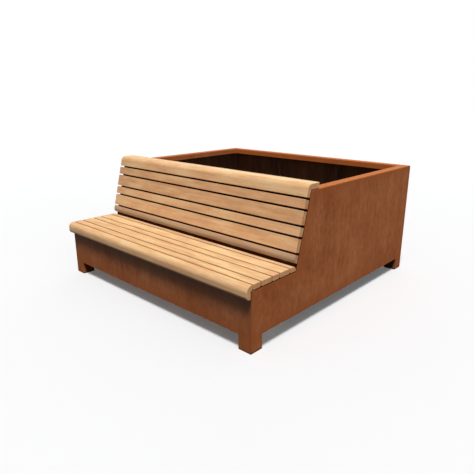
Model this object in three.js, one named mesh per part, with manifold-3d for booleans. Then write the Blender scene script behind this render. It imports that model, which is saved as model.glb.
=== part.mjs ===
// Bench with planter: a square planter of folded weathering steel whose front
// side leans back behind a slatted hardwood bench.
// Millimetres, +Z up. X runs along the bench, +X to the right of someone who
// looks at it from the front, and Y runs from the front to the rear.

import * as THREE from 'three';
import { mergeVertices } from 'three/addons/utils/BufferGeometryUtils.js';
import Module from 'manifold-3d';

const wasm = await Module();
wasm.setup();

// Steel box
const boxWidth = 2000;
const boxDepth = 2000;
const rimHeight = 900;
const sheet = 3;
const bendInside = 3;
const rimWidth = 75;
const lipHeight = 45;
const footWidth = 100;
const groundClearance = 100;

// Bench
const seatHeight = 442;
const seatDepth = 423;
const backSlant = THREE.MathUtils.degToRad(14.8);

// Hardwood: the slats lie a shadow gap clear of the steel edges
const slatThickness = 35;
const slatGap = 12;
const slatEase = 3;
const slatShares = [60 / 355, 90 / 355, 60 / 355, 90 / 355, 55 / 355];
const endRound = 30;
const shadowGap = 6;
const noseOverlap = 6;
const noseHeight = 88;
const noseRound = 40;
const noseLowerRound = 25;
const seatRearGap = 2;
const backLift = 52.5;
const topLegDrop = 48.6;
const topOverhang = 8;

// Bearers that carry the slats
const bearerCount = 5;
const bearerInset = 100;
const stripWidth = 50;
const stripSetback = 10;
const channelWidth = 50;
const channelHeight = 40;
const seatFlange = 40;

// Planter floor and what stiffens the box
const floorTop = 140;
const wallFootFlange = 40;
const floorChannelCount = 4;
const floorChannelWidth = 60;
const drainColumns = 4;
const drainRows = 3;
const drainRadius = 20;
const ribDepth = 64;
const ribFlange = 30;
const ribPlate = 4;
const ribPlaceShare = 1 / 6;

// Base plates inside the feet
const basePlate = 6;
const anchorRadius = 7;

// Making
const jointGap = 0.3;
const overrun = 10;
const arcStep = Math.PI / 12;
const holeSides = 16;

// Values that follow from the sizes above
const halfWidth = boxWidth / 2;
const seatEdge = seatHeight - slatThickness - shadowGap;
const slopeRun = Math.tan(backSlant);
const rimFront = seatDepth + (rimHeight - seatEdge) * slopeRun;
const slopeLength = (rimHeight - seatEdge) / Math.cos(backSlant);
const noseProud = slatThickness + shadowGap;
const backTop = rimHeight + shadowGap + slatThickness;
const topRear = rimFront + rimWidth + topOverhang;
const stripThickness = shadowGap - 2 * jointGap;
const inset = sheet + jointGap;
const mitreShift = jointGap / Math.SQRT2;

const corten = new THREE.MeshStandardMaterial({ color: 0x7c4a2e, roughness: 0.85, metalness: 0.15 });
const darkCorten = new THREE.MeshStandardMaterial({ color: 0x5a3422, roughness: 0.9, metalness: 0.15 });
const bearerSteel = new THREE.MeshStandardMaterial({ color: 0x55585a, roughness: 0.6, metalness: 0.7 });
const hardwood = new THREE.MeshStandardMaterial({ color: 0xd9a873, roughness: 0.65, metalness: 0 });

// Point on the leaning front side: s up the slope from its foot, n out of it
function slope(s, n) {
  const y = seatDepth + s * Math.sin(backSlant) - n * Math.cos(backSlant);
  const z = seatEdge + s * Math.cos(backSlant) + n * Math.sin(backSlant);
  return new THREE.Vector2(y, z);
}

// Where the plane n out of the slope meets a level z
function slopeAtLevel(n, z) {
  const y = seatDepth + (z - seatEdge) * slopeRun - n / Math.cos(backSlant);
  return new THREE.Vector2(y, z);
}

// Half the angle between the two legs of a corner
function halfAngle(before, corner, after) {
  const inward = before.clone().sub(corner).normalize();
  const outward = after.clone().sub(corner).normalize();
  return Math.acos(THREE.MathUtils.clamp(inward.dot(outward), -1, 1)) / 2;
}

// The arc that replaces one corner: from the leg towards before to the leg towards after
function cornerArc(before, corner, after, radius) {
  if (radius === 0) return [corner.clone()];
  const inward = before.clone().sub(corner).normalize();
  const outward = after.clone().sub(corner).normalize();
  const half = halfAngle(before, corner, after);
  const bisector = inward.clone().add(outward).normalize();
  const centre = corner.clone().addScaledVector(bisector, radius / Math.sin(half));
  const tangent = radius / Math.tan(half);
  const start = corner.clone().addScaledVector(inward, tangent).sub(centre);
  const turn = Math.sign(inward.cross(outward)) * (Math.PI - 2 * half);
  const steps = Math.max(2, Math.ceil(Math.abs(turn) / arcStep));
  const arc = [];
  for (let i = 0; i <= steps; i += 1) {
    arc.push(start.clone().rotateAround(new THREE.Vector2(), (-turn * i) / steps).add(centre));
  }
  return arc;
}

// A closed outline whose corners, given as [point, radius], are rounded. Where
// an edge is too short for the rounds at its two ends, they share it.
function roundedOutline(corners) {
  const count = corners.length;
  const points = corners.map(([point]) => point);
  const halves = points.map((point, i) => halfAngle(points[(i + count - 1) % count], point, points[(i + 1) % count]));
  const reaches = corners.map(([, radius], i) => radius / Math.tan(halves[i]));
  const fits = points.map((point, i) => {
    const next = (i + 1) % count;
    const wanted = reaches[i] + reaches[next];
    return wanted === 0 ? 1 : Math.min(1, point.distanceTo(points[next]) / wanted);
  });
  return corners.flatMap(([corner, radius], i) => {
    const previous = (i + count - 1) % count;
    const fit = Math.min(fits[previous], fits[i]);
    return cornerArc(points[previous], corner, points[(i + 1) % count], radius * fit);
  });
}

// An open path moved sideways, to the left of its travel when distance is positive
function offsetPath(path, distance) {
  const normals = path.slice(1).map((point, i) => {
    const along = point.clone().sub(path[i]).normalize();
    return new THREE.Vector2(-along.y, along.x);
  });
  return path.map((point, i) => {
    const first = normals[Math.max(i - 1, 0)];
    const second = normals[Math.min(i, normals.length - 1)];
    const shift = first.clone().add(second).multiplyScalar(distance / (1 + first.dot(second)));
    return point.clone().add(shift);
  });
}

// The section of a folded sheet: a path along one face, and its thickness to the left of it
function foldedSection(path, thickness) {
  const other = offsetPath(path, thickness);
  const outer = Math.abs(thickness) + bendInside;
  const radii = path.map((point, i) => {
    if (i === 0 || i === path.length - 1) return [0, 0];
    const turn = point.clone().sub(path[i - 1]).cross(path[i + 1].clone().sub(point));
    return turn * thickness > 0 ? [outer, bendInside] : [bendInside, outer];
  });
  const rounded = (line, face) => line.flatMap((point, i) => {
    if (i === 0 || i === line.length - 1) return [point];
    return cornerArc(line[i - 1], point, line[i + 1], radii[i][face]);
  });
  return [...rounded(path, 0), ...rounded(other, 1).reverse()];
}

// Closed three.js geometry as a solid that can be cut and joined
function solidOf(geometry) {
  geometry.deleteAttribute('normal');
  geometry.deleteAttribute('uv');
  const merged = mergeVertices(geometry);
  return new wasm.Manifold(new wasm.Mesh({
    numProp: 3,
    vertProperties: new Float32Array(merged.attributes.position.array),
    triVerts: new Uint32Array(merged.index.array),
  }));
}

// An outline carried along an axis, as a solid. The outline's two numbers are
// y and z along X, x and z along Y, and x and y along Z.
const prismBases = {
  x: new THREE.Matrix4(0, 0, 1, 0, 1, 0, 0, 0, 0, 1, 0, 0, 0, 0, 0, 1),
  y: new THREE.Matrix4(1, 0, 0, 0, 0, 0, -1, 0, 0, 1, 0, 0, 0, 0, 0, 1),
  z: new THREE.Matrix4(),
};

function prism(axis, outline, from, to, holes = []) {
  const shape = new THREE.Shape(THREE.ShapeUtils.isClockWise(outline) ? [...outline].reverse() : outline);
  shape.holes.push(...holes);
  const geometry = new THREE.ExtrudeGeometry(shape, {
    depth: to - from,
    bevelEnabled: false,
  });
  geometry.applyMatrix4(prismBases[axis]);
  const shift = { x: [from, 0, 0], y: [0, to, 0], z: [0, 0, from] }[axis];
  geometry.translate(...shift);
  return solidOf(geometry);
}

// A round hole through an outline
function roundHole(x, y, radius) {
  const points = Array.from({ length: holeSides }, (_, i) => {
    const angle = (-2 * Math.PI * i) / holeSides;
    return new THREE.Vector2(x + radius * Math.cos(angle), y + radius * Math.sin(angle));
  });
  return new THREE.Path(points);
}

function rectangle(u0, u1, v0, v1) {
  return [[u0, v0], [u1, v0], [u1, v1], [u0, v1]].map(([u, v]) => new THREE.Vector2(u, v));
}

function block(x, y, z) {
  return prism('z', rectangle(...x, ...y), ...z);
}

const bench = new THREE.Group();
// The origin is the middle of the base of the whole bench, nose included
bench.position.y = -(boxDepth - noseProud) / 2;

function addPiece(name, solid, material) {
  const { vertProperties, triVerts } = solid.getMesh();
  const geometry = new THREE.BufferGeometry();
  geometry.setAttribute('position', new THREE.BufferAttribute(vertProperties, 3));
  geometry.setIndex(new THREE.BufferAttribute(triVerts, 1));
  geometry.computeVertexNormals();
  const mesh = new THREE.Mesh(geometry, material);
  mesh.name = name;
  bench.add(mesh);
}

// Points near a corner of the box, given as distances [a, b] in from its side
// face and in from its front or rear face
function atCorner(side, cornerY, inwards, places) {
  return places.map(([a, b]) => new THREE.Vector2(side * (halfWidth - a), cornerY + inwards * b));
}

// Upright cuts that mitre the sheets where they meet at a corner. A side panel
// keeps what lies nearer its own face, and so does the panel that meets it.
const cutLow = -overrun;
const cutHigh = rimHeight + overrun;
const mitreReach = rimWidth + overrun;

function cutFromSide(side, cornerY, inwards) {
  const places = [
    [-overrun, mitreShift - overrun],
    [mitreReach, mitreReach + mitreShift],
    [mitreReach, -2 * overrun],
    [-overrun, -2 * overrun],
  ];
  return prism('z', atCorner(side, cornerY, inwards, places), cutLow, cutHigh);
}

function cutFromRear(side) {
  const places = [
    [mitreShift - overrun, -overrun],
    [mitreReach + mitreShift, mitreReach],
    [-2 * overrun, mitreReach],
    [-2 * overrun, -overrun],
  ];
  return prism('z', atCorner(side, boxDepth, -1, places), cutLow, cutHigh);
}

function cutFromFront(side) {
  const places = [
    [mitreShift - overrun, -overrun],
    [inset, inset - mitreShift],
    [inset, mitreReach],
    [-2 * overrun, mitreReach],
    [-2 * overrun, -overrun],
  ];
  return prism('z', atCorner(side, 0, 1, places), cutLow, cutHigh);
}

// The rim of the leaning wall is mitred, and the wall below it stands between the side panels
function cutFromWall(side) {
  const places = [
    [inset, -rimFront],
    [inset, inset - mitreShift],
    [mitreReach + mitreShift, mitreReach],
    [-2 * overrun, mitreReach],
    [-2 * overrun, -rimFront],
  ];
  return prism('z', atCorner(side, rimFront, 1, places), cutLow, cutHigh);
}

function cutRimForWall(side) {
  const places = [
    [sheet, sheet + mitreShift],
    [mitreReach, mitreReach + mitreShift],
    [mitreReach, -rimFront],
    [sheet, -rimFront],
  ];
  return prism('z', atCorner(side, rimFront, 1, places), seatHeight, cutHigh);
}

// Side panels: sheet, folded rim and turned-down lip, cut out for the seat and the feet
function sidePanel(side) {
  const inner = halfWidth - rimWidth;
  const path = [
    [side * halfWidth, 0],
    [side * halfWidth, rimHeight],
    [side * inner, rimHeight],
    [side * inner, rimHeight - lipHeight],
  ].map(([x, z]) => new THREE.Vector2(x, z));
  const reach = [side * inner, side * halfWidth].sort((a, b) => a - b);
  reach[0] -= overrun;
  reach[1] += overrun;
  const aboveSeat = [
    new THREE.Vector2(-overrun, seatEdge),
    new THREE.Vector2(seatDepth, seatEdge),
    slopeAtLevel(0, cutHigh),
    new THREE.Vector2(-overrun, cutHigh),
  ];
  return prism('y', foldedSection(path, side * sheet), 0, boxDepth)
    .subtract(prism('x', aboveSeat, ...reach))
    .subtract(block(reach, [footWidth, boxDepth - footWidth], [cutLow, groundClearance]))
    .subtract(cutFromSide(side, 0, 1))
    .subtract(cutFromSide(side, boxDepth, -1))
    .subtract(cutRimForWall(side));
}

addPiece('side_panel_left', sidePanel(-1), corten);
addPiece('side_panel_right', sidePanel(1), corten);

// A panel across the whole width, cut to fit at both its ends
function crossPanel(path, thickness, cutEnd) {
  return prism('x', foldedSection(path, thickness), -halfWidth, halfWidth)
    .subtract(cutEnd(-1))
    .subtract(cutEnd(1));
}

// The cut between the feet of the front and rear panels
const betweenFeet = block(
  [-halfWidth + footWidth, halfWidth - footWidth],
  [-overrun, boxDepth + overrun],
  [cutLow, groundClearance],
);

const frontPath = [
  new THREE.Vector2(0, 0),
  new THREE.Vector2(0, seatEdge),
  new THREE.Vector2(seatFlange, seatEdge),
];
addPiece('front_panel', crossPanel(frontPath, -sheet, cutFromFront).subtract(betweenFeet), corten);

const rearPath = [
  new THREE.Vector2(boxDepth, 0),
  new THREE.Vector2(boxDepth, rimHeight),
  new THREE.Vector2(boxDepth - rimWidth, rimHeight),
  new THREE.Vector2(boxDepth - rimWidth, rimHeight - lipHeight),
];
addPiece('rear_panel', crossPanel(rearPath, sheet, cutFromRear).subtract(betweenFeet), corten);

// The wall behind the bench: foot flange, upright part, leaning part, rim and lip in one sheet
const wallPath = [
  new THREE.Vector2(seatDepth + wallFootFlange, groundClearance),
  new THREE.Vector2(seatDepth, groundClearance),
  new THREE.Vector2(seatDepth, seatEdge),
  new THREE.Vector2(rimFront, rimHeight),
  new THREE.Vector2(rimFront + rimWidth, rimHeight),
  new THREE.Vector2(rimFront + rimWidth, rimHeight - lipHeight),
];
addPiece('planter_wall', crossPanel(wallPath, -sheet, cutFromWall), corten);

// Planter floor: a tray with its edges turned down, drained by round holes
const floorX = [-halfWidth + inset, halfWidth - inset];
const floorY = [seatDepth + inset, boxDepth - inset];
const floorFoot = groundClearance + inset + bendInside;

function drainHoles() {
  const holes = [];
  for (let column = 0; column < drainColumns; column += 1) {
    for (let row = 0; row < drainRows; row += 1) {
      const x = THREE.MathUtils.lerp(...floorX, (column + 0.5) / drainColumns);
      const y = THREE.MathUtils.lerp(...floorY, (row + 0.5) / drainRows);
      holes.push(roundHole(x, y, drainRadius));
    }
  }
  return holes;
}

const tray = prism('z', rectangle(...floorX, ...floorY), floorFoot, floorTop, drainHoles())
  .subtract(block(
    [floorX[0] + sheet, floorX[1] - sheet],
    [floorY[0] + sheet, floorY[1] - sheet],
    [floorFoot - overrun, floorTop - sheet],
  ));
addPiece('planter_floor', tray, darkCorten);

// A channel with its open side down, given by its middle, width and levels
function channelSection(middle, width, top, bottom) {
  const path = [
    new THREE.Vector2(middle - width / 2, bottom),
    new THREE.Vector2(middle - width / 2, top),
    new THREE.Vector2(middle + width / 2, top),
    new THREE.Vector2(middle + width / 2, bottom),
  ];
  return foldedSection(path, -sheet);
}

// Floor channels run across under the tray, between the rows of drain holes
for (let i = 0; i < floorChannelCount; i += 1) {
  const share = i / (floorChannelCount - 1);
  const first = floorY[0] + inset + floorChannelWidth / 2;
  const last = floorY[1] - inset - floorChannelWidth / 2;
  const middle = THREE.MathUtils.lerp(first, last, share);
  const top = floorTop - inset;
  const section = channelSection(middle, floorChannelWidth, top, floorFoot + jointGap);
  const solid = prism('x', section, floorX[0] + inset, floorX[1] - inset);
  addPiece(`floor_channel_${i + 1}`, solid, darkCorten);
}

// Upright ribs on the inside of the rear panel
for (const [name, side] of [['left', -1], ['right', 1]]) {
  const x = side * boxWidth * ribPlaceShare;
  const rear = boxDepth - inset;
  const path = [
    new THREE.Vector2(x, rear - ribDepth),
    new THREE.Vector2(x, rear),
    new THREE.Vector2(x - ribFlange, rear),
  ];
  const solid = prism('z', foldedSection(path, ribPlate), floorTop + jointGap, rimHeight - sheet - bendInside);
  addPiece(`rear_rib_${name}`, solid, darkCorten);
}

// Feet: an angle closes the two inner sides of each foot, and a base plate with
// an anchor hole closes it below
for (const [name, side, cornerY, inwards] of [
  ['front_left', -1, 0, 1],
  ['front_right', 1, 0, 1],
  ['rear_left', -1, boxDepth, -1],
  ['rear_right', 1, boxDepth, -1],
]) {
  const path = [
    new THREE.Vector2(footWidth, inset),
    new THREE.Vector2(footWidth, footWidth),
    new THREE.Vector2(inset, footWidth),
  ];
  const section = foldedSection(path, sheet).map((point) => [point.x, point.y]);
  const angle = prism('z', atCorner(side, cornerY, inwards, section), 0, floorFoot - jointGap);
  addPiece(`foot_angle_${name}`, angle, darkCorten);

  const low = inset;
  const high = footWidth - inset;
  const corners = rectangle(low, high, low, high).map((point) => [point, bendInside + jointGap]);
  const plate = atCorner(side, cornerY, inwards, roundedOutline(corners).map((point) => [point.x, point.y]));
  const [middle] = atCorner(side, cornerY, inwards, [[(low + high) / 2, (low + high) / 2]]);
  const anchor = roundHole(middle.x, middle.y, anchorRadius);
  addPiece(`base_plate_${name}`, prism('z', plate, 0, basePlate, [anchor]), bearerSteel);
}

// Slat places along the seat and up the back: the same pattern from its outer
// end to the corner where seat and back meet
function slatPlaces(from, to) {
  const wood = to - from - slatShares.length * slatGap;
  const places = [];
  let start = from;
  for (const share of slatShares) {
    start += slatGap;
    places.push([start, start + share * wood]);
    start += share * wood;
  }
  return places;
}

const seatEnd = seatDepth - seatRearGap;
const topLegFoot = slopeLength - topLegDrop;
const seatPlaces = slatPlaces(noseOverlap, seatEnd);
const backPlaces = slatPlaces(0, topLegFoot - backLift).map(([near, far]) => [topLegFoot - near, topLegFoot - far]);

function addWood(name, corners) {
  addPiece(name, prism('x', roundedOutline(corners), -halfWidth, halfWidth), hardwood);
}

// Seat nose: an angle-shaped slat that wraps over the top of the front panel
const noseBottom = seatHeight - noseHeight;
const slatBottom = seatHeight - slatThickness;
addWood('seat_nose', [
  [new THREE.Vector2(noseOverlap, seatHeight), slatEase],
  [new THREE.Vector2(-noseProud, seatHeight), noseRound],
  [new THREE.Vector2(-noseProud, noseBottom), noseLowerRound],
  [new THREE.Vector2(-shadowGap, noseBottom), slatEase],
  [new THREE.Vector2(-shadowGap, slatBottom), 0],
  [new THREE.Vector2(noseOverlap, slatBottom), slatEase],
]);

// Seat slats: the last one is rounded off towards the back
seatPlaces.forEach(([front, rear], i) => {
  const last = i === seatPlaces.length - 1;
  addWood(`seat_slat_${i + 1}`, [
    [new THREE.Vector2(front, slatBottom), slatEase],
    [new THREE.Vector2(rear, slatBottom), slatEase],
    [new THREE.Vector2(rear, seatHeight), last ? endRound : slatEase],
    [new THREE.Vector2(front, seatHeight), slatEase],
  ]);
});

// Back slats, from the top down: the lowest is rounded off towards the seat
const backInner = shadowGap;
const backOuter = shadowGap + slatThickness;
backPlaces.forEach(([high, low], i) => {
  const last = i === backPlaces.length - 1;
  addWood(`back_slat_${i + 1}`, [
    [slope(high, backInner), slatEase],
    [slope(high, backOuter), slatEase],
    [slope(low, backOuter), last ? endRound : slatEase],
    [slope(low, backInner), slatEase],
  ]);
});

// Top piece: an angle-shaped slat that wraps over the rim of the leaning wall
addWood('back_top', [
  [slope(topLegFoot, backInner), slatEase],
  [slope(topLegFoot, backOuter), slatEase],
  [slopeAtLevel(backOuter, backTop), noseRound],
  [new THREE.Vector2(topRear, backTop), slatEase],
  [new THREE.Vector2(topRear, rimHeight + shadowGap), slatEase],
  [slopeAtLevel(backInner, rimHeight + shadowGap), 0],
]);

// Bearers: a channel under the seat, a strip under the seat slats that hooks
// over the front panel, and a strip behind the back slats that hooks over the rim
const seatStripPath = [
  new THREE.Vector2(-jointGap, noseBottom + stripSetback),
  new THREE.Vector2(-jointGap, seatEdge + jointGap),
  new THREE.Vector2(seatEnd - stripSetback, seatEdge + jointGap),
];
const backStripPath = [
  slope(backLift - stripSetback, jointGap),
  slopeAtLevel(jointGap, rimHeight + jointGap),
  new THREE.Vector2(rimFront + rimWidth - stripSetback, rimHeight + jointGap),
];
for (let i = 0; i < bearerCount; i += 1) {
  const reach = halfWidth - bearerInset;
  const middle = THREE.MathUtils.lerp(-reach, reach, i / (bearerCount - 1));
  const edges = [middle - stripWidth / 2, middle + stripWidth / 2];
  const channel = channelSection(middle, channelWidth, seatEdge, seatEdge - channelHeight);
  addPiece(`seat_channel_${i + 1}`, prism('y', channel, seatFlange + jointGap, seatDepth - jointGap), bearerSteel);
  addPiece(`seat_strip_${i + 1}`, prism('x', foldedSection(seatStripPath, stripThickness), ...edges), bearerSteel);
  addPiece(`back_strip_${i + 1}`, prism('x', foldedSection(backStripPath, stripThickness), ...edges), bearerSteel);
}

export default bench;
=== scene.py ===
# Looks of a bench with planter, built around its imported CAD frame.
# Metres, +Z up, X along the bench, Y from the bench's front to the planter's rear.

import math

import bpy
import numpy as np
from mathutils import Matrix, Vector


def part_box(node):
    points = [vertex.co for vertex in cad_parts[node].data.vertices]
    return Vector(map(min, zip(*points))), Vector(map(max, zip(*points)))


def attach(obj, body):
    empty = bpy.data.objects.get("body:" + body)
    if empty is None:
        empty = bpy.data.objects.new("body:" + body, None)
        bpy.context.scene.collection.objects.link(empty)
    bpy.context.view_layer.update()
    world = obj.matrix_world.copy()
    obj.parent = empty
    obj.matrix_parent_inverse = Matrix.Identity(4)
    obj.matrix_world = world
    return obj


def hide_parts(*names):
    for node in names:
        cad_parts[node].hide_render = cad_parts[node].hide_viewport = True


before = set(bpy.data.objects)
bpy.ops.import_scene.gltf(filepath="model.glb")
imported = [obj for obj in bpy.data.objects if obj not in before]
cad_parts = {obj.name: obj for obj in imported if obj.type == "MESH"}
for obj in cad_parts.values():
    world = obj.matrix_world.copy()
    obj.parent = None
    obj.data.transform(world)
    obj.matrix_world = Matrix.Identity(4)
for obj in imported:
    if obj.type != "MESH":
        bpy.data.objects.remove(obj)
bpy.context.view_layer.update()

# Sizes that the frame gives
side_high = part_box("side_panel_right")[1]
front_low, front_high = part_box("front_panel")
rear_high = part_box("rear_panel")[1]
wall_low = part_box("planter_wall")[0]
tray_low, tray_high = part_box("planter_floor")
nose_low, nose_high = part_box("seat_nose")
top_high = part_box("back_top")[1]

half_width = side_high.x
rim_top = side_high.z
seat_edge = front_high.z
front_face = front_low.y
rear_face = rear_high.y
seat_corner = wall_low.y
floor_top = tray_high.z
seat_top = nose_high.z

# Sizes of the wood. Along the leaning edge of the steel, back_lift is how far the lowest slat
# ends above its foot, and top_leg_drop how far the top piece reaches down from its upper end
slant = math.radians(14.8)
slat_thickness = 0.035
slat_gap = 0.012
slat_ease = 0.003
end_ease = 0.0025
end_round = 0.030
nose_round = 0.040
nose_lower_round = 0.025
shadow_gap = seat_top - slat_thickness - seat_edge
slat_shares = [width / 355 for width in (60, 90, 60, 90, 55)]
back_lift = 0.0525
top_leg_drop = 0.0486
slope_length = (rim_top - seat_edge) / math.cos(slant)

# The logs that the slats are sawn from: how wide the rings are, how far the pith is from a slat,
# and how far along its log a slat may lie. The tone goes from light to dark
ring_width = 0.0065
pith_nearest, pith_farthest = 0.07, 0.20
log_reach = 4.0
nose_tone = 0.24
seat_tones = [0.52, 0.50, 0.42, 0.20, 0.40]
back_tones = [0.64, 0.66, 0.28, 0.42, 0.54]
top_tone = 0.28

# Painted shade in the gaps, which also stands for dirt, as a share of the slat's thickness:
# the seat's slats get little of it
seat_shade_and_dirt_depth = 0.022
full_shade_and_dirt_depth = 0.09

# Painted shade in the corner of seat and back, grey, which also stands for grime: how much of
# the wood it covers, up to which distance from the corner it is even, and where it ends
shade_and_grime_on_faces, shade_and_grime_on_ends = 0.55, 0.28
shade_and_grime_full, shade_and_grime_gone = 0.066, 0.095

# Sizes of the steel that the materials follow. The rust between the two levels gets darker
# towards the seat's nose: a painted shade, which also stands for a drier patina under the nose
sheet = 0.003
rim_width = 0.075
ground_clearance = 0.100
nose_shade_start, nose_shade_end = 0.225, 0.345

# Sizes of the welds, bolts and strainers: how far below the rim the seams in the corners end,
# how far from a rib's foot and head its first and last stitch start, how far up the leaning
# wall the rows of bolts are, and how the floor's drain holes are laid out
weld_radius = 0.004
weld_pitch = 0.005
rear_seam_end, wall_seam_end = 0.010, 0.020
stitch_length = 0.045
stitch_count = 6
first_stitch, last_stitch = 0.030, 0.080
bolt_rows = (0.09, 0.28, 0.44)
drain_columns, drain_rows = 4, 3
strainer_pitch = 0.009

# Camera, as it was solved from the photo's straight edges
camera_lens = 35
camera_place = (2.5675, -2.7794, 1.4571)
camera_tilt, camera_turn = math.radians(72.938), math.radians(43.012)

# Light: a key lamp from above and in front, two faint lamps that cast no shadow, and an even
# sky. Each lamp has its strength, its tilt from upright, its turn about Z and its width in degrees
key_lamp = (0.88, 19, -54, 16)
right_lamp = (0.18, 70, -12, 40)
rear_lamp = (0.32, 74, 120, 40)
sky_strength = 0.22

# The floor's size, what it sends back to the object, and what the camera sees of it: one level up
# to the near reach and another from the far reach on
floor_size = 60.0
floor_bounce = 0.04
near_level, far_level = 0.812, 0.855
near_reach, far_reach = 2.5, 9.0

# Colours, as linear red, green and blue
black = (0.0, 0.0, 0.0)
edge_rust = (0.400, 0.105, 0.027)
washed_rust = (0.520, 0.150, 0.024)
splashed_rust = (0.210, 0.062, 0.014)
# painted contact shade where the steel stands, which also stands for wet dirt
wet_dirt_and_shade = (0.110, 0.040, 0.018)
pale_freckles = (0.620, 0.255, 0.095)
dark_specks = (0.160, 0.046, 0.016)
# painted shade under the seat's nose, which also stands for dust and drier patina
dusty_shaded_rust = (0.070, 0.073, 0.063)
# painted light: a brighter, redder rust for the rear panel's lip
painted_lip_light = (0.630, 0.159, 0.027)
# painted shade: the coat behind the wood, nearly black, darker higher up
shaded_coat_at_seat = (0.070, 0.018, 0.004)
shaded_coat_behind_back = (0.024, 0.005, 0.001)
silt = (0.110, 0.050, 0.024)
perforation = (0.006, 0.004, 0.003)
late_wood = (0.510, 0.255, 0.095)
wood_flush = (0.780, 0.380, 0.215)
wood_pores = (0.300, 0.145, 0.060)
ring_lines = (0.500, 0.200, 0.070)
end_stain = (0.680, 0.270, 0.095)
# painted shade in the corner of seat and back, which also stands for grime
corner_shade_and_grime = (0.225, 0.236, 0.216)
# painted shade in the gaps between slats, which also stands for dirt
gap_shade_and_dirt = (0.050, 0.012, 0.003)
# painted light: a tint for wood faces that look up, for the light that falls on them
top_light_tint = (0.945, 0.995, 0.935)
# painted shade on wood faces that look down
underside_shade = (0.120, 0.066, 0.036)
floor_tint = (1.0, 1.005, 1.012)

# Ramps: the colours that a pattern's low to high values take
rust_ramp = [
    (0.36, (0.230, 0.062, 0.019)),
    (0.45, (0.375, 0.114, 0.036)),
    (0.53, (0.475, 0.158, 0.057)),
    (0.60, (0.540, 0.198, 0.076)),
    (0.70, (0.630, 0.260, 0.105)),
]
coat_ramp = [
    (0.35, (0.052, 0.022, 0.011)),
    (0.50, (0.088, 0.036, 0.017)),
    (0.60, (0.125, 0.050, 0.022)),
    (0.72, (0.215, 0.080, 0.030)),
]
bearer_ramp = [
    (0.35, (0.008, 0.007, 0.006)),
    (0.70, (0.022, 0.018, 0.014)),
]
zinc_ramp = [
    (0.30, (0.26, 0.27, 0.28)),
    (0.70, (0.46, 0.47, 0.48)),
]
wood_ramp = [
    (0.58, (0.950, 0.668, 0.368)),
    (0.72, (0.907, 0.580, 0.304)),
    (0.82, (0.845, 0.496, 0.252)),
    (1.00, (0.685, 0.364, 0.182)),
]


class Nodes:
    """Adds shader nodes to a tree. The methods give back the output of the node that they add."""

    def __init__(self, tree):
        self.tree = tree
        tree.nodes.clear()

    def node(self, kind, inputs=None, **settings):
        node = self.tree.nodes.new(kind)
        for name, value in settings.items():
            setattr(node, name, value)
        for key, value in (inputs or {}).items():
            if isinstance(value, bpy.types.NodeSocket):
                self.tree.links.new(value, node.inputs[key])
            else:
                node.inputs[key].default_value = value
        return node

    def add(self, kind, inputs=None, output=0, **settings):
        return self.node(kind, inputs, **settings).outputs[output]

    def place(self):
        """Where the point is, in the frame that all pieces share."""
        return self.add("ShaderNodeTexCoord", output="Object")

    def stored(self, name, output="Fac"):
        """What the mesh keeps for each vertex under this name."""
        return self.add("ShaderNodeAttribute", output=output, attribute_name=name)

    def upward(self):
        """One on faces that look up, zero on upright ones, minus one on those that look down."""
        return self.parts(self.add("ShaderNodeNewGeometry", output="Normal"))[2]

    def math(self, operation, a, b=0.0):
        return self.add("ShaderNodeMath", {0: a, 1: b}, operation=operation)

    def least(self, first, *others):
        for other in others:
            first = self.math("MINIMUM", first, other)
        return first

    def total(self, shares):
        """The sum of the values, each times its share."""
        terms = [self.math("MULTIPLY", value, share) for value, share in shares]
        result = terms[0]
        for term in terms[1:]:
            result = self.math("ADD", result, term)
        return result

    def times(self, vector, factors):
        return self.add("ShaderNodeVectorMath", {0: vector, 1: factors}, operation="MULTIPLY")

    def parts(self, vector):
        return list(self.node("ShaderNodeSeparateXYZ", {0: vector}).outputs)

    def length(self, vector):
        return self.add("ShaderNodeVectorMath", {0: vector}, output="Value", operation="LENGTH")

    def noise(self, vector, scale, detail, roughness, distortion=0.0):
        inputs = {"Vector": vector, "Scale": scale, "Detail": detail,
                  "Roughness": roughness, "Distortion": distortion}
        return self.add("ShaderNodeTexNoise", inputs)

    def drawn_noise(self, vector, along, across, detail, roughness):
        """Noise that is drawn out along x, with its scales along and across."""
        return self.noise(self.times(vector, (along, across, across)), 1.0, detail, roughness)

    def between(self, value, low, high, to_low=0.0, to_high=1.0):
        """Goes from to_low to to_high as the value goes from low to high, and stays there."""
        inputs = {0: value, 1: low, 2: high, 3: to_low, 4: to_high}
        return self.add("ShaderNodeMapRange", inputs, clamp=True)

    def blend(self, factor, a, b, kind="MIX"):
        """A blend of two colours, each of them an output or a tuple."""
        a, b = [(*side, 1.0) if isinstance(side, tuple) else side for side in (a, b)]
        inputs = {0: factor, 6: a, 7: b}
        return self.add("ShaderNodeMix", inputs, output=2, data_type="RGBA", blend_type=kind)

    def layers(self, colour, covers):
        """The colour with others laid over it in turn, each by its share."""
        for share, cover in covers:
            colour = self.blend(share, colour, cover)
        return colour

    def ramp(self, factor, stops):
        out = self.add("ShaderNodeValToRGB", {0: factor})
        elements = out.node.color_ramp.elements
        while len(elements) < len(stops):
            elements.new(0.5)
        for element, (place, colour) in zip(elements, stops):
            element.position = place
            element.color = (*colour, 1.0)
        return out

    def bump(self, height, distance, strength):
        inputs = {"Height": height, "Distance": distance, "Strength": strength}
        return self.add("ShaderNodeBump", inputs)

    def surface(self, **inputs):
        named = {key.replace("_", " "): value for key, value in inputs.items()}
        shader = self.add("ShaderNodeBsdfPrincipled", named)
        self.node("ShaderNodeOutputMaterial", {"Surface": shader})


def new_material(name):
    made = bpy.data.materials.new(name)
    made.use_nodes = True
    return made, Nodes(made.node_tree)


# Where a point of the steel is

def from_sides(nodes, x):
    """How far in a point is from the nearer of the left and right sides."""
    return nodes.math("SUBTRACT", half_width, nodes.math("ABSOLUTE", x))


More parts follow.
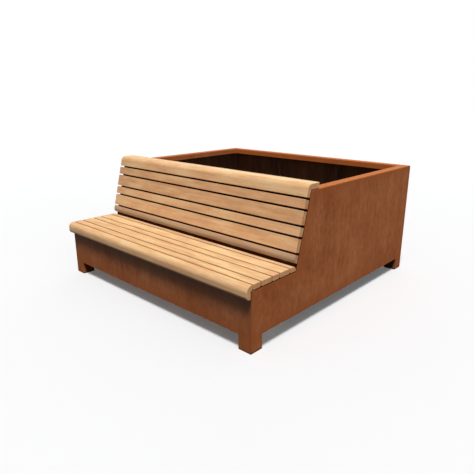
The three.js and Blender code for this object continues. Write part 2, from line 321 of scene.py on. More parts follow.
def from_ends(nodes, y):
    """How far in a point is from the nearer of the front and rear faces."""
    return nodes.least(nodes.math("SUBTRACT", y, front_face), nodes.math("SUBTRACT", rear_face, y))


def from_foot_line(nodes, z):
    """How far a point is from the level at which the panels end between the feet."""
    return nodes.math("ABSOLUTE", nodes.math("SUBTRACT", z, ground_clearance))


def behind_lean(nodes, y, z):
    """How deep a point lies behind the leaning edge of the sides."""
    lean = nodes.math("MULTIPLY", nodes.math("SUBTRACT", z, seat_edge), math.tan(slant))
    upright = nodes.math("SUBTRACT", y, seat_corner)
    return nodes.math("MULTIPLY", nodes.math("SUBTRACT", upright, lean), math.cos(slant))


def side_edge(nodes, x, y, z):
    """How far a point of a side panel is from the panel's nearest edge."""
    notch = nodes.math("MAXIMUM", behind_lean(nodes, y, z), nodes.math("SUBTRACT", seat_edge, z))
    below_rim = nodes.math("SUBTRACT", rim_top, z)
    return nodes.least(notch, from_ends(nodes, y), below_rim, from_foot_line(nodes, z))


def rear_edge(nodes, x, y, z):
    """How far a point of the rear panel is from the panel's nearest edge."""
    below_rim = nodes.math("SUBTRACT", rim_top, z)
    return nodes.least(from_sides(nodes, x), below_rim, from_foot_line(nodes, z))


def front_edge(nodes, x, y, z):
    """How far a point of the front panel is from its nearest edge that shows."""
    return nodes.least(from_sides(nodes, x), from_foot_line(nodes, z))


# Masks: one where a panel has the dark coat of the planter's inside

def before_lip(nodes, depth, z):
    """One for faces that aren't as deep as the lip, below the rim."""
    shallow = nodes.math("LESS_THAN", depth, rim_width - sheet / 2)
    below = nodes.math("LESS_THAN", z, rim_top - sheet / 2)
    return nodes.math("MULTIPLY", shallow, below)


def within_fold(nodes, depth, z):
    """One for faces before the lip that are deeper than half the sheet."""
    behind = nodes.math("GREATER_THAN", depth, sheet / 2)
    return nodes.math("MULTIPLY", behind, before_lip(nodes, depth, z))


def coated_sides(nodes, x, y, z):
    return within_fold(nodes, from_sides(nodes, x), z)


def coated_rear(nodes, x, y, z):
    return within_fold(nodes, nodes.math("SUBTRACT", rear_face, y), z)


def coated_wall(nodes, x, y, z):
    """Both faces of the leaning wall have the coat; behind the wood it is a painted shade."""
    return before_lip(nodes, behind_lean(nodes, y, z), z)


def rear_lip(nodes, x, y, z):
    """One on the turned-down lip of the rear panel."""
    return nodes.math("GREATER_THAN", nodes.math("SUBTRACT", rear_face, y), rim_width - sheet / 2)


# Weathering steel and its coat

def rust(nodes, place, edge=None):
    """Colour, roughness and relief of a rust patina: clouds, upright runs, blotches and grains.
    Level faces, which the rain washes, are brighter, a band along the edges is redder, and it is
    darker towards the ground, with a dark line where the steel stands: a painted contact shade,
    which also stands for wet dirt."""
    clouds = nodes.noise(place, 3.2, 4.0, 0.55)
    runs = nodes.noise(nodes.times(place, (11.0, 11.0, 1.3)), 1.0, 4.0, 0.55)
    blotches = nodes.noise(nodes.times(place, (1.0, 1.0, 0.5)), 30.0, 5.0, 0.65, 0.5)
    grains = nodes.between(nodes.noise(place, 240.0, 5.0, 0.70), 0.28, 0.72)
    mixed = nodes.total([(clouds, 0.32), (runs, 0.20), (blotches, 0.34), (grains, 0.14)])
    colour = nodes.ramp(mixed, rust_ramp)
    if edge is not None:
        wander = nodes.noise(place, 9.0, 3.0, 0.5)
        near = nodes.between(nodes.total([(edge, 1.0), (wander, 0.07)]), 0.04, 0.13, 0.60, 0.0)
        colour = nodes.blend(near, colour, edge_rust)
    level = nodes.parts(place)[2]
    foot = nodes.total([(level, 1.0), (clouds, -0.016)])
    freckles = nodes.noise(place, 150.0, 3.0, 0.6)
    specks = nodes.noise(place, 420.0, 3.0, 0.6)
    colour = nodes.layers(colour, [
        (nodes.between(nodes.upward(), 0.5, 1.0, 0.0, 0.65), washed_rust),
        (nodes.between(level, 0.0, 0.40, 0.16, 0.0), splashed_rust),
        # painted contact shade along the ground line, which also stands for wet dirt
        (nodes.between(foot, -0.004, 0.006, 0.75, 0.0), wet_dirt_and_shade),
        (nodes.between(freckles, 0.58, 0.68, 0.0, 0.40), pale_freckles),
        (nodes.between(specks, 0.57, 0.66, 0.0, 0.50), dark_specks),
    ])
    rough = nodes.between(blotches, 0.3, 0.7, 0.80, 0.95)
    fine = nodes.noise(place, 900.0, 3.0, 0.6)
    height = nodes.total([(blotches, 0.5), (grains, 0.25), (fine, 0.25)])
    return colour, rough, height


def rust_surface(nodes, colour, rough, height, specular):
    nodes.surface(Base_Color=colour, Roughness=rough, Normal=nodes.bump(height, 0.0008, 0.5),
                  Specular_IOR_Level=specular)


def coating(nodes, place, level=1.0):
    """Colour of the dark coat on the planter's inner faces, with rust that stains it, scaled by
    level; a level below one is a painted shade. Between the wood and the leaning wall it is a
    painted shade, nearly black, and darker higher up."""
    stain = nodes.noise(nodes.times(place, (5.0, 5.0, 1.0)), 2.2, 6.0, 0.65)
    grains = nodes.between(nodes.noise(place, 120.0, 5.0, 0.70), 0.28, 0.72)
    colour = nodes.ramp(nodes.total([(stain, 0.78), (grains, 0.22)]), coat_ramp)
    x, y, z = nodes.parts(place)
    # painted shade on the face of the leaning wall behind the wood
    outside = nodes.math("LESS_THAN", behind_lean(nodes, y, z), sheet / 2)
    high = nodes.between(z, seat_top + 0.02, seat_top + 0.06)
    shaded = nodes.blend(high, shaded_coat_at_seat, shaded_coat_behind_back)
    return nodes.layers(colour, [(outside, shaded), (1.0 - level, black)])


def steel_material(name, edge=None, coated=None, coat_shade_level=1.0, lip=None, dust_and_nose_shade=False,
                   specular=0.12):
    """Rust, which is redder near the edge and brighter where the mask lip is one, a painted light,
    with a dark coat where the mask coated is one, which a coat level below one darkens as a
    painted shade. Where it is asked for, it is dustier at its lower edge, and darker under the
    seat's nose: a painted shade, which also stands for a drier patina under the nose."""
    made, nodes = new_material(name)
    place = nodes.place()
    x, y, z = nodes.parts(place)
    near = edge(nodes, x, y, z) if edge is not None else None
    colour, rough, height = rust(nodes, place, near)
    if dust_and_nose_shade:
        level = nodes.total([(z, 1.0), (nodes.noise(place, 3.0, 3.0, 0.5), 0.05)])
        dust = nodes.between(level, ground_clearance, ground_clearance + 0.03, 0.0, 0.07)
        # painted shade under the seat's nose, which also stands for a drier patina there
        nose_shade = nodes.between(level, nose_shade_start, nose_shade_end, 0.0, 0.58)
        colour = nodes.blend(nodes.math("ADD", dust, nose_shade), colour, dusty_shaded_rust)
    if lip is not None:
        # painted light on the rear panel's lip
        share = nodes.math("MULTIPLY", lip(nodes, x, y, z), 0.6)
        colour = nodes.blend(share, colour, painted_lip_light)
    if coated is not None:
        # a coat level below one darkens the coat as a painted shade
        coat = coating(nodes, place, coat_shade_level)
        colour = nodes.blend(coated(nodes, x, y, z), colour, coat)
    rust_surface(nodes, colour, rough, height, specular)
    return made


def foot_material(name):
    """The inner sides of the feet: bare rust near their outer edges and the ground, and a darkened
    coat deeper in, which paints the light that reaches in from there and the shade beyond it."""
    made, nodes = new_material(name)
    place = nodes.place()
    x, y, z = nodes.parts(place)
    bare, rough, height = rust(nodes, place)
    inward = nodes.least(from_ends(nodes, y), from_sides(nodes, x))
    # painted light and shade: rust where light reaches in, a darkened coat deeper in
    into_shade = nodes.total([(z, 1.0), (inward, 4.2)])
    colour = nodes.blend(nodes.between(into_shade, 0.07, 0.14), bare, coating(nodes, place, 0.55))
    rust_surface(nodes, colour, rough, height, 0.1)
    return made


def coated_material(name, level=1.0, specular=0.3):
    """The dark coat alone, with its colour scaled by level; a level below one is a painted shade.
    """
    made, nodes = new_material(name)
    place = nodes.place()
    grains = nodes.noise(place, 160.0, 4.0, 0.6)
    nodes.surface(Base_Color=coating(nodes, place, level),
                  Roughness=nodes.between(grains, 0.3, 0.7, 0.6, 0.85),
                  Normal=nodes.bump(grains, 0.0005, 0.3), Specular_IOR_Level=specular)
    return made


def bearer_material(name):
    """Black coated steel, a little paler where dust lies and along scuffs."""
    made, nodes = new_material(name)
    place = nodes.place()
    dust = nodes.noise(place, 26.0, 5.0, 0.6)
    orange_peel = nodes.noise(place, 900.0, 2.0, 0.5)
    nodes.surface(Base_Color=nodes.ramp(dust, bearer_ramp),
                  Roughness=nodes.between(dust, 0.3, 0.7, 0.50, 0.70),
                  Normal=nodes.bump(orange_peel, 0.0003, 0.25), Specular_IOR_Level=0.3)
    return made


def galvanised_material(name, pitch=None):
    """Zinc with its spangle, dulled by weather. Where a pitch is given it has rows of round
    perforations, which stand half a pitch apart both ways: the places where the sines of
    2 pi x / pitch and 2 pi y / pitch are both near one or minus one."""
    made, nodes = new_material(name)
    place = nodes.place()
    spangle = nodes.add("ShaderNodeTexVoronoi", {"Vector": place, "Scale": 420.0}, output="Color")
    dull = nodes.noise(place, 60.0, 4.0, 0.6)
    colour = nodes.ramp(nodes.total([(nodes.parts(spangle)[0], 0.35), (dull, 0.65)]), zinc_ramp)
    metal = 0.85
    if pitch is not None:
        waves = [nodes.math("SINE", nodes.math("MULTIPLY", value, math.tau / pitch))
                 for value in nodes.parts(place)[:2]]
        hole = nodes.between(nodes.math("ABSOLUTE", nodes.math("MULTIPLY", *waves)), 0.50, 0.62)
        silted = nodes.between(dull, 0.35, 0.60, 0.35, 0.75)
        colour = nodes.layers(colour, [(silted, silt), (hole, perforation)])
        metal = nodes.between(nodes.math("MAXIMUM", hole, silted), 0.3, 0.8, 0.5, 0.0)
    nodes.surface(Base_Color=colour, Roughness=nodes.between(dull, 0.3, 0.7, 0.38, 0.58),
                  Normal=nodes.bump(dull, 0.0002, 0.3), Metallic=metal)
    return made


# Hardwood. Each vertex keeps its place in the log that its slat was sawn from (grain, with x
# along the log and the pith on the x axis), the slat's own tone, and how deep it lies in a gap

def sawn_wood(nodes, end_grain):
    """Colour, roughness and relief of clean wood, and its blotches. The rings are the sine of
    2 pi r / ring_width, at the distance r from the pith, and r wanders a little. The rest is
    noise drawn out along the log. The end grain is darker and shows the rings as lines."""
    place, tone = nodes.stored("grain", "Vector"), nodes.stored("tone")
    wander = nodes.drawn_noise(place, 0.8, 6.0, 3.0, 0.5)
    blotches = nodes.drawn_noise(place, 4.5, 18.0, 4.0, 0.6)
    bands = nodes.drawn_noise(place, 1.6, 66.0, 4.0, 0.62)
    fibres = nodes.drawn_noise(place, 5.0, 300.0, 4.0, 0.6)
    flush = nodes.drawn_noise(place, 2.2, 9.0, 2.0, 0.5)
    pores = nodes.between(nodes.drawn_noise(place, 28.0, 1500.0, 2.0, 0.5), 0.62, 0.72)
    radius = nodes.length(nodes.times(place, (0.0, 1.0, 1.0)))
    moved = nodes.total([(radius, 1.0), (wander, 0.06)])
    rings = nodes.math("SINE", nodes.math("MULTIPLY", moved, math.tau / ring_width))
    late = nodes.math("POWER", nodes.between(rings, -1.0, 1.0), 3.0)
    streaks = nodes.between(fibres, 0.35, 0.70)
    shade = nodes.total([(blotches, 0.82), (bands, 0.56), (tone, 0.30)])
    colour = nodes.layers(nodes.ramp(shade, wood_ramp), [
        (nodes.total([(late, 0.24), (streaks, 0.24)]), late_wood),
        (nodes.between(flush, 0.48, 0.66, 0.0, 0.30), wood_flush),
        (nodes.math("MULTIPLY", pores, 0.35), wood_pores),
    ])
    if end_grain:
        lines = nodes.between(rings, 0.1, 1.0, 0.0, 0.40)
        colour = nodes.layers(colour, [(lines, ring_lines), (0.32, end_stain)])
    rough = nodes.between(fibres, 0.3, 0.7, 0.54, 0.70)
    height = nodes.total([(fibres, 0.6), (late, 0.3), (pores, -0.5)])
    return colour, rough, height, blotches


def shaded_and_weathered(nodes, colour, blotches, end_grain):
    """The wood's colour with painted light and shade: grey painted shade in the corner of seat and
    back, which also stands for grime, painted shade in the gaps, which also stands for dirt, a
    painted tint on faces that look up, for the light that falls on them, and painted shade on
    those that look down, below the seat's top."""
    x, y, z = nodes.parts(nodes.place())
    facing = nodes.upward()
    squares = [nodes.math("POWER", nodes.math("SUBTRACT", value, corner), 2.0)
               for value, corner in ((y, seat_corner), (z, seat_top))]
    away = nodes.math("SQRT", nodes.math("ADD", *squares))
    away = nodes.total([(away, 1.0), (blotches, 0.03)])
    share = shade_and_grime_on_ends if end_grain else shade_and_grime_on_faces
    # painted shade in the corner of seat and back, which also stands for grime
    shade_and_grime = nodes.between(away, shade_and_grime_full, shade_and_grime_gone, share, 0.0)
    above_seat = nodes.between(z, seat_top + 0.004, seat_top + 0.010)
    shade_and_grime_reach = nodes.math("MAXIMUM", above_seat, nodes.between(facing, 0.93, 1.0, 0.0, 0.25))
    colour = nodes.blend(nodes.math("MULTIPLY", shade_and_grime, shade_and_grime_reach), colour, corner_shade_and_grime)
    if not end_grain:
        # painted shade in the gaps, which also stands for dirt
        shade_and_dirt = nodes.between(nodes.stored("depth"), 0.0, full_shade_and_dirt_depth, 0.0, 0.96)
        colour = nodes.blend(shade_and_dirt, colour, gap_shade_and_dirt)
    # painted tint on faces that look up, for the light that falls on them
    colour = nodes.blend(nodes.between(facing, 0.6, 1.0), colour, top_light_tint, "MULTIPLY")
    below_seat = nodes.between(z, seat_top - 0.001, seat_top + 0.004, 1.0, 0.0)
    # painted shade on faces that look down, below the seat's top
    underside_shade_share = nodes.math("MULTIPLY", nodes.between(facing, -0.5, 0.0, 0.80, 0.0), below_seat)
    return nodes.blend(underside_shade_share, colour, underside_shade)


def wood_material(name, end_grain=False):
    made, nodes = new_material(name)
    colour, rough, height, blotches = sawn_wood(nodes, end_grain)
    nodes.surface(Base_Color=shaded_and_weathered(nodes, colour, blotches, end_grain), Roughness=rough,
                  Normal=nodes.bump(height, 0.0004, 0.35), Specular_IOR_Level=0.15)
    return made


# The coat inside the sides is darkened to half, a painted shade
side_steel = steel_material("weathering steel of the sides", side_edge, coated_sides, 0.5)
rear_steel = steel_material("weathering steel of the rear", rear_edge, coated_rear, lip=rear_lip)
wall_steel = steel_material("weathering steel of the leaning wall", coated=coated_wall,
                            specular=0.0)
# The front is darker under the seat's nose: a painted shade, which also stands for drier patina
front_steel = steel_material("weathering steel of the front", front_edge, dust_and_nose_shade=True)
coated_steel = coated_material("coated steel")
# The ribs' coat is darkened, a painted shade
rib_steel = coated_material("coated steel of the ribs", 0.42, 0.1)
foot_steel = foot_material("weathering steel inside the feet")
bearer_steel = bearer_material("black coated steel")
fixing_steel = galvanised_material("galvanised steel")
strainer_steel = galvanised_material("perforated galvanised steel", strainer_pitch)
side_wood = wood_material("hardwood")
end_wood = wood_material("hardwood end grain", end_grain=True)


def finish_nodes(names, material):
    for name in names:
        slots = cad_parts[name].data.materials
        slots.clear()
        slots.append(material)


feet = ["front_left", "front_right", "rear_left", "rear_right"]
five = range(1, 6)
finish_nodes(["side_panel_left", "side_panel_right"], side_steel)
finish_nodes(["rear_panel"], rear_steel)
finish_nodes(["planter_wall"], wall_steel)
finish_nodes(["front_panel"], front_steel)
finish_nodes(["planter_floor"], coated_steel)
finish_nodes(["rear_rib_left", "rear_rib_right"], rib_steel)
finish_nodes([f"floor_channel_{i}" for i in range(1, 5)], coated_steel)
finish_nodes([f"foot_angle_{foot}" for foot in feet], foot_steel)
finish_nodes([f"base_plate_{foot}" for foot in feet], bearer_steel)
for part in ["seat_channel", "seat_strip", "back_strip"]:
    finish_nodes([f"{part}_{i}" for i in five], bearer_steel)


# Meshes

def tube_faces(rings, count, inside_out=False):
    """Quads between neighbouring rings of a closed section, and a face over each end."""
    ring, turn = np.meshgrid(np.arange(rings - 1), np.arange(count), indexing="ij")
    after = (turn + 1) % count
    quads = np.stack([ring * count + turn, ring * count + after,
                      (ring + 1) * count + after, (ring + 1) * count + turn], -1).reshape(-1, 4)
    near_end, far_end = np.arange(count)[None, ::-1], np.arange(count)[None] + (rings - 1) * count
    blocks = [quads, near_end, far_end]
    return [block[:, ::-1] for block in blocks] if inside_out else blocks


def smooth_mesh(name, points, faces):
    mesh = bpy.data.meshes.new(name)
    mesh.from_pydata(points.reshape(-1, 3).tolist(), [], faces)
    mesh.polygons.foreach_set("use_smooth", np.ones(len(mesh.polygons), bool))
    return mesh


def dress(piece_name, mesh, replaced=()):
    """The piece in the scene, riding on the body, with the CAD nodes that it stands for."""
    piece = bpy.data.objects.new(piece_name, mesh)
    bpy.context.scene.collection.objects.link(piece)
    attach(piece, "root")
    if replaced:
        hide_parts(*replaced)
    return piece


# Wood pieces: an outline in y and z, carried along x

def rounded_outline(corners, arc_points=9, support=0.0004):
    """A closed outline whose corners, given as (y, z, radius), are rounded. The arc at a corner P
    has its centre at P + b r / sin(h), with b the bisector and h half the corner's angle, and it
    runs between its two tangent points. One more point on each leg, just past the arc, keeps the
    flat beside it flat where the shading is smooth."""
    points = np.array([corner[:2] for corner in corners])
    outline = []
    for i, (_, _, radius) in enumerate(corners):
        if radius == 0:
            outline.append(points[i][None])
            continue
        inward, outward = points[i - 1] - points[i], points[(i + 1) % len(points)] - points[i]
        inward, outward = inward / np.linalg.norm(inward), outward / np.linalg.norm(outward)
        half = math.acos(float(inward @ outward)) / 2
        bisector = (inward + outward) / np.linalg.norm(inward + outward)
        centre = points[i] + bisector * radius / math.sin(half)
        reach = radius / math.tan(half)
        start = points[i] + inward * reach - centre
        side = np.array([-start[1], start[0]])
        turning = outward[0] * inward[1] - outward[1] * inward[0]
        angles = np.linspace(0, math.copysign(math.pi - 2 * half, turning), arc_points)[:, None]
        arc = centre + start * np.cos(angles) + side * np.sin(angles)
        outline.append((points[i] + inward * (reach + support))[None])
        outline.append(arc)
        outline.append((points[i] + outward * (reach + support))[None])
    return np.concatenate(outline)


def outward_normals(outline):
    """Unit normals of a counter-clockwise outline, from the mean of its two edges at each point."""
    edges = np.roll(outline, -1, 0) - outline
    edges /= np.linalg.norm(edges, axis=1, keepdims=True)
    along = edges + np.roll(edges, 1, 0)
    along /= np.linalg.norm(along, axis=1, keepdims=True)
    return np.stack([along[:, 1], -along[:, 0]], 1)


def signed_area(outline):
    """Half the sum of y z' - y' z, with y' and z' those of the next point."""
    y, z = outline[:, 0], outline[:, 1]
    return 0.5 * float(np.sum(y * np.roll(z, -1) - np.roll(y, -1) * z))


def carried_mesh(name, outline, low, high, ease, stations=7, ease_points=6):
    """The outline carried along x from low to high. Near an end at distance t the outline is drawn
    in along its normals by ease - sqrt(ease^2 - (ease - t)^2), a quarter round, and the two end
    outlines are filled, which gives the last two faces."""
    if signed_area(outline) < 0:
        outline = outline[::-1]
    normals = outward_normals(outline)
    quarter = np.linspace(0, math.pi / 2, ease_points)
    near, drawn = ease * (1 - np.cos(quarter)), ease * (1 - np.sin(quarter))
    middle = np.linspace(low + ease, high - ease, stations)[1:-1]
    x = np.concatenate([low + near, middle, (high - near)[::-1]])
    inset = np.concatenate([drawn, np.zeros(len(middle)), drawn[::-1]])
    section = outline[None] - normals[None] * inset[:, None, None]
    rings, count = section.shape[:2]
    points = np.concatenate([np.broadcast_to(x[:, None, None], (rings, count, 1)), section], 2)
    faces = [face for block in tube_faces(rings, count) for face in block.tolist()]
    mesh = smooth_mesh(name, points, faces)
    mesh.validate()
    return mesh


def keep_values(mesh, name, kind, values):
    """Puts one value for each vertex into the mesh, for its materials to read."""
    field = "vector" if kind == "FLOAT_VECTOR" else "value"
    kept = mesh.attributes.new(name, kind, "POINT")
    kept.data.foreach_set(field, values.astype(np.float32).ravel())


def vertex_places(mesh):
    places = np.zeros(len(mesh.vertices) * 3, np.float32)
    mesh.vertices.foreach_get("co", places)
    return places.reshape(-1, 3)


log_draws = np.random.default_rng(11)


def wood_piece(name, corners, tone, outward=None, deepest=1.0, gapless_side=None):
    """A slat of wood with its own place in a log: the section is turned about its middle and set
    off from the pith, so that its faces show straight or arched grain and its ends show rings.
    Where outward gives the direction that its face looks, each point also holds how deep it lies
    below that face, as a share of the slat's thickness up to deepest, for the painted shade in
    the gaps, which also stands for dirt. The half of the slat that lies towards the direction
    given last has no gap beside it and gets none."""
    outline = rounded_outline(corners)
    mesh = carried_mesh(name, outline, -half_width, half_width, end_ease)
    mesh.materials.append(side_wood)
    mesh.materials.append(end_wood)
    for end in mesh.polygons[-2:]:
        end.use_smooth = False
        end.material_index = 1
    points = vertex_places(mesh)
    turn = log_draws.uniform(0, math.tau)
    pith = log_draws.uniform(pith_nearest, pith_farthest)
    along = log_draws.uniform(-log_reach, log_reach)
    offset = points[:, 1:] - outline.mean(0)
    grain = np.stack([
        points[:, 0] + along,
        offset[:, 0] * math.cos(turn) - offset[:, 1] * math.sin(turn) + pith,
        offset[:, 0] * math.sin(turn) + offset[:, 1] * math.cos(turn),
    ], 1)
    depth = np.zeros(len(points))
    if outward is not None:
        level = points[:, 1:] @ np.array(outward)
        depth = np.minimum((level.max() - level) / slat_thickness, deepest)
        if gapless_side is not None:
            depth[offset @ np.array(gapless_side) > 0] = 0
    keep_values(mesh, "grain", "FLOAT_VECTOR", grain)
    keep_values(mesh, "tone", "FLOAT", np.full(len(points), tone))
    keep_values(mesh, "depth", "FLOAT", depth)
    return dress(f"{name}_wood", mesh, [name])


def on_slope(s, n):
    """The point s up the leaning edge from its foot and n out of it, as (y, z)."""
    y = seat_corner + s * math.sin(slant) - n * math.cos(slant)
    z = seat_edge + s * math.cos(slant) + n * math.sin(slant)
    return y, z


def slope_at_level(n, z):
    """Where the plane n out of the leaning edge meets the level z, as (y, z)."""
    y = seat_corner + (z - seat_edge) * math.tan(slant) - n / math.cos(slant)
    return y, z


wood_piece("seat_nose", [
    (nose_high.y, seat_top, slat_ease),
    (nose_low.y, seat_top, nose_round),
    (nose_low.y, nose_low.z, nose_lower_round),
    (front_face - shadow_gap, nose_low.z, slat_ease),
    (front_face - shadow_gap, seat_top - slat_thickness, 0),
    (nose_high.y, seat_top - slat_thickness, slat_ease),
], nose_tone)

for i, tone in zip(five, seat_tones):
    low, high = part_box(f"seat_slat_{i}")
    wood_piece(f"seat_slat_{i}", [
        (low.y, low.z, slat_ease),
        (high.y, low.z, slat_ease),
        (high.y, high.z, end_round if i == 5 else slat_ease),
        (low.y, high.z, slat_ease),
    ], tone, outward=(0, 1), deepest=seat_shade_and_dirt_depth, gapless_side=(1, 0) if i == 5 else None)

leg_foot = slope_length - top_leg_drop
back_wood = leg_foot - back_lift - len(slat_shares) * slat_gap
outer = shadow_gap + slat_thickness
high_end = leg_foot
for i, share, tone in zip(five, slat_shares, back_tones):
    high_end -= slat_gap
    low_end = high_end - share * back_wood
    wood_piece(f"back_slat_{i}", [
        (*on_slope(high_end, shadow_gap), slat_ease),
        (*on_slope(high_end, outer), slat_ease),
        (*on_slope(low_end, outer), end_round if i == 5 else slat_ease),
        (*on_slope(low_end, shadow_gap), slat_ease),
    ], tone, outward=(-math.cos(slant), math.sin(slant)),
        gapless_side=(-math.sin(slant), -math.cos(slant)) if i == 5 else None)
    high_end = low_end

wood_piece("back_top", [
    (*on_slope(leg_foot, shadow_gap), slat_ease),
    (*on_slope(leg_foot, outer), slat_ease),
    (*slope_at_level(outer, top_high.z), nose_round),
    (top_high.y, top_high.z, slat_ease),
    (top_high.y, rim_top + shadow_gap, slat_ease),
    (*slope_at_level(shadow_gap, rim_top + shadow_gap), 0),
], top_tone)


# Welds, bolts and strainers

def weld_bead(start, end, first, second, steps=5):
    """A fillet weld along the corner line from start to end, between two walls that lie in the
    directions first and second from it. Its section is a quarter round, a few degrees more at
    each end, of the radius r (1 + 0.12 cos(2 pi t / pitch)) at the distance t along the seam,
    times the root of 1 - (1 - t / r)^2 near the two ends, and it is closed through a point sunk
    in the corner."""
    start, end = np.array(start), np.array(end)
    first, second = np.array(first), np.array(second)
    length = np.linalg.norm(end - start)
    t = np.linspace(0, length, int(length / weld_pitch) * steps)
    to_end = np.minimum(np.minimum(t, length - t) / weld_radius, 1)
    ripple = 1 + 0.12 * np.cos(math.tau * t / weld_pitch)
    swell = weld_radius * ripple * np.sqrt(1 - (1 - to_end) ** 2)
    angles = np.radians(np.linspace(-6, 96, 8))
    arc = np.cos(angles)[:, None] * first + np.sin(angles)[:, None] * second
    section = np.concatenate([arc, -0.08 * (first + second)[None]])
    line = start + t[:, None] * (end - start) / length
    return line[:, None, :] + swell[:, None, None] * section[None]


def welds_piece(name, beads):
    """One mesh of many beads. A bead whose section turns against its path is faced outward by
    turning its faces round."""
    faces, offset = [], 0
    for bead in beads:
        rings, count = bead.shape[:2]
        along = bead[-1].mean(0) - bead[0].mean(0)
        middle = bead[rings // 2]
        turning = np.cross(middle[0] - middle[-1], middle[count // 2] - middle[-1])
        for block in tube_faces(rings, count, inside_out=bool(turning @ along < 0)):
            faces += (block + offset).tolist()
        offset += rings * count
    points = np.concatenate([bead.reshape(-1, 3) for bead in beads])
    mesh = smooth_mesh(name, points, faces)
    mesh.materials.append(coated_steel)
    return dress(name, mesh)


seam_foot = floor_top + weld_radius
wall_foot = (seat_corner + sheet, seam_foot)
wall_bend = on_slope(-sheet * math.tan(slant / 2), -sheet)
wall_head = on_slope(slope_length - wall_seam_end, -sheet)
rear_inside = rear_face - sheet
into_planter = (0, math.cos(slant), -math.sin(slant))
corner_beads = []
for side in (-1, 1):
    x = side * (half_width - sheet)
    inward = (-side, 0, 0)
    rear_seam = (x, rear_inside, seam_foot), (x, rear_inside, rim_top - rear_seam_end)
    corner_beads.append(weld_bead(*rear_seam, inward, (0, -1, 0)))
    corner_beads.append(weld_bead((x, *wall_foot), (x, *wall_bend), inward, (0, 1, 0)))
    corner_beads.append(weld_bead((x, *wall_bend), (x, *wall_head), inward, into_planter))
welds_piece("corner_welds", corner_beads)

rib_beads = []
for rib in ["rear_rib_left", "rear_rib_right"]:
    low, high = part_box(rib)
    for z in np.linspace(low.z + first_stitch, high.z - last_stitch, stitch_count):
        stitch = (high.x, rear_inside, z), (high.x, rear_inside, z + stitch_length)
        rib_beads.append(weld_bead(*stitch, (1, 0, 0), (0, -1, 0)))
welds_piece("rib_welds", rib_beads)


def turned(name, places, axis, profile, finish, segments=24):
    """Small parts turned about an axis: each point (r, h) of the profile goes round the axis at the
    radius r and the height h, at each of the places, with a point on the axis at both ends."""
    axis = np.array(axis)
    across = np.array([1.0, 0, 0])
    angles = np.linspace(0, math.tau, segments, endpoint=False)
    spoke = np.cos(angles)[:, None] * across + np.sin(angles)[:, None] * np.cross(axis, across)
    radii, heights = np.array(profile).T
    rings = radii[:, None, None] * spoke[None] + heights[:, None, None] * axis
    ends = axis * heights[[0, -1]][:, None]
    one = np.concatenate([rings.reshape(-1, 3), ends])
    around = np.arange(segments)
    after = (around + 1) % segments
    last_ring = (len(profile) - 1) * segments
    bottom = np.stack([np.full(segments, len(one) - 2), after, around], 1)
    top = np.stack([np.full(segments, len(one) - 1), last_ring + around, last_ring + after], 1)
    faces = []
    for i in range(len(places)):
        for block in (tube_faces(len(profile), segments)[0], bottom, top):
            faces += (block + i * len(one)).tolist()
    mesh = smooth_mesh(name, np.array(places)[:, None] + one, faces)
    mesh.materials.append(finish)
    return dress(name, mesh)


strips = [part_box(f"back_strip_{i}") for i in five]
bolt_places = [((low.x + high.x) / 2, *on_slope(s, -sheet))
               for low, high in strips for s in bolt_rows]
bolt_profile = [
    (0.0085, 0.0), (0.0090, 0.0004), (0.0090, 0.0012), (0.0086, 0.0016),
    (0.0058, 0.0016), (0.0060, 0.0020), (0.0057, 0.0034), (0.0046, 0.0046),
    (0.0028, 0.0052), (0.0024, 0.0050), (0.0022, 0.0032),
]
turned("back_bolts", bolt_places, into_planter, bolt_profile, fixing_steel)

tray_width, tray_depth = tray_high.x - tray_low.x, tray_high.y - tray_low.y
strainer_places = [(tray_low.x + (column + 0.5) / drain_columns * tray_width,
                    tray_low.y + (row + 0.5) / drain_rows * tray_depth, floor_top)
                   for column in range(drain_columns) for row in range(drain_rows)]
strainer_profile = [
    (0.0275, -0.0005), (0.0280, 0.0), (0.0280, 0.0010), (0.0270, 0.0014), (0.0225, 0.0016),
    (0.0190, 0.0034), (0.0140, 0.0050), (0.0080, 0.0060), (0.0030, 0.0064),
]
turned("drain_strainers", strainer_places, (0, 0, 1), strainer_profile, strainer_steel, 32)


# Stage: camera, light and floor

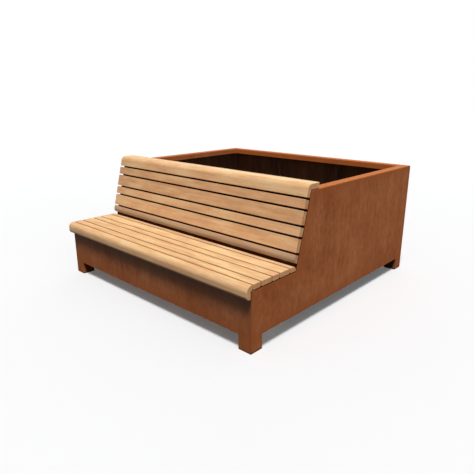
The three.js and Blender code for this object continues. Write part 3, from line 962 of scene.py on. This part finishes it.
camera_data = bpy.data.cameras.new("camera")
camera_data.lens = camera_lens
camera = bpy.data.objects.new("camera", camera_data)
bpy.context.scene.collection.objects.link(camera)
camera.location = camera_place
camera.rotation_euler = (camera_tilt, 0, camera_turn)
bpy.context.scene.camera = camera


def lamp(name, strength, tilt, turn, width):
    """A far lamp that gives a face square to it the strength, as a share of white."""
    data = bpy.data.lights.new(name, "SUN")
    data.energy = strength * math.pi
    data.angle = math.radians(width)
    made = bpy.data.objects.new(name, data)
    made.rotation_euler = (0, math.radians(tilt), math.radians(turn))
    bpy.context.scene.collection.objects.link(made)
    return data


lamp("key lamp", *key_lamp)
lamp("right lamp", *right_lamp).use_shadow = False
lamp("rear lamp", *rear_lamp).use_shadow = False


def seen_directly(nodes):
    """One for rays of the camera, and for those that a gloss or a clear thing sends on."""
    path = nodes.node("ShaderNodeLightPath").outputs
    seen = nodes.math("MAXIMUM", path["Is Camera Ray"], path["Is Glossy Ray"])
    return nodes.math("MAXIMUM", seen, path["Is Transmission Ray"])


world = bpy.data.worlds.new("world")
world.use_nodes = True
bpy.context.scene.world = world
nodes = Nodes(world.node_tree)
strength = nodes.between(seen_directly(nodes), 0.0, 1.0, sky_strength, 1.0)
sky = nodes.add("ShaderNodeBackground", {"Color": (1.0, 1.0, 1.0, 1.0), "Strength": strength})
nodes.node("ShaderNodeOutputWorld", {"Surface": sky})

floor_finish, nodes = new_material("pale floor")
away = nodes.length(nodes.place())
pale = nodes.between(away, near_reach, far_reach, near_level, far_level)
level = nodes.between(seen_directly(nodes), 0.0, 1.0, floor_bounce, pale)
colour = nodes.blend(1.0, level, floor_tint, "MULTIPLY")
shader = nodes.add("ShaderNodeBsdfDiffuse", {"Color": colour})
nodes.node("ShaderNodeOutputMaterial", {"Surface": shader})

half = floor_size / 2
floor_mesh = bpy.data.meshes.new("floor")
floor_corners = [(-half, -half, 0), (half, -half, 0), (half, half, 0), (-half, half, 0)]
floor_mesh.from_pydata(floor_corners, [], [(0, 1, 2, 3)])
floor_mesh.materials.append(floor_finish)
floor = bpy.data.objects.new("floor", floor_mesh)
bpy.context.scene.collection.objects.link(floor)

scene = bpy.context.scene
scene.view_settings.view_transform = "Standard"
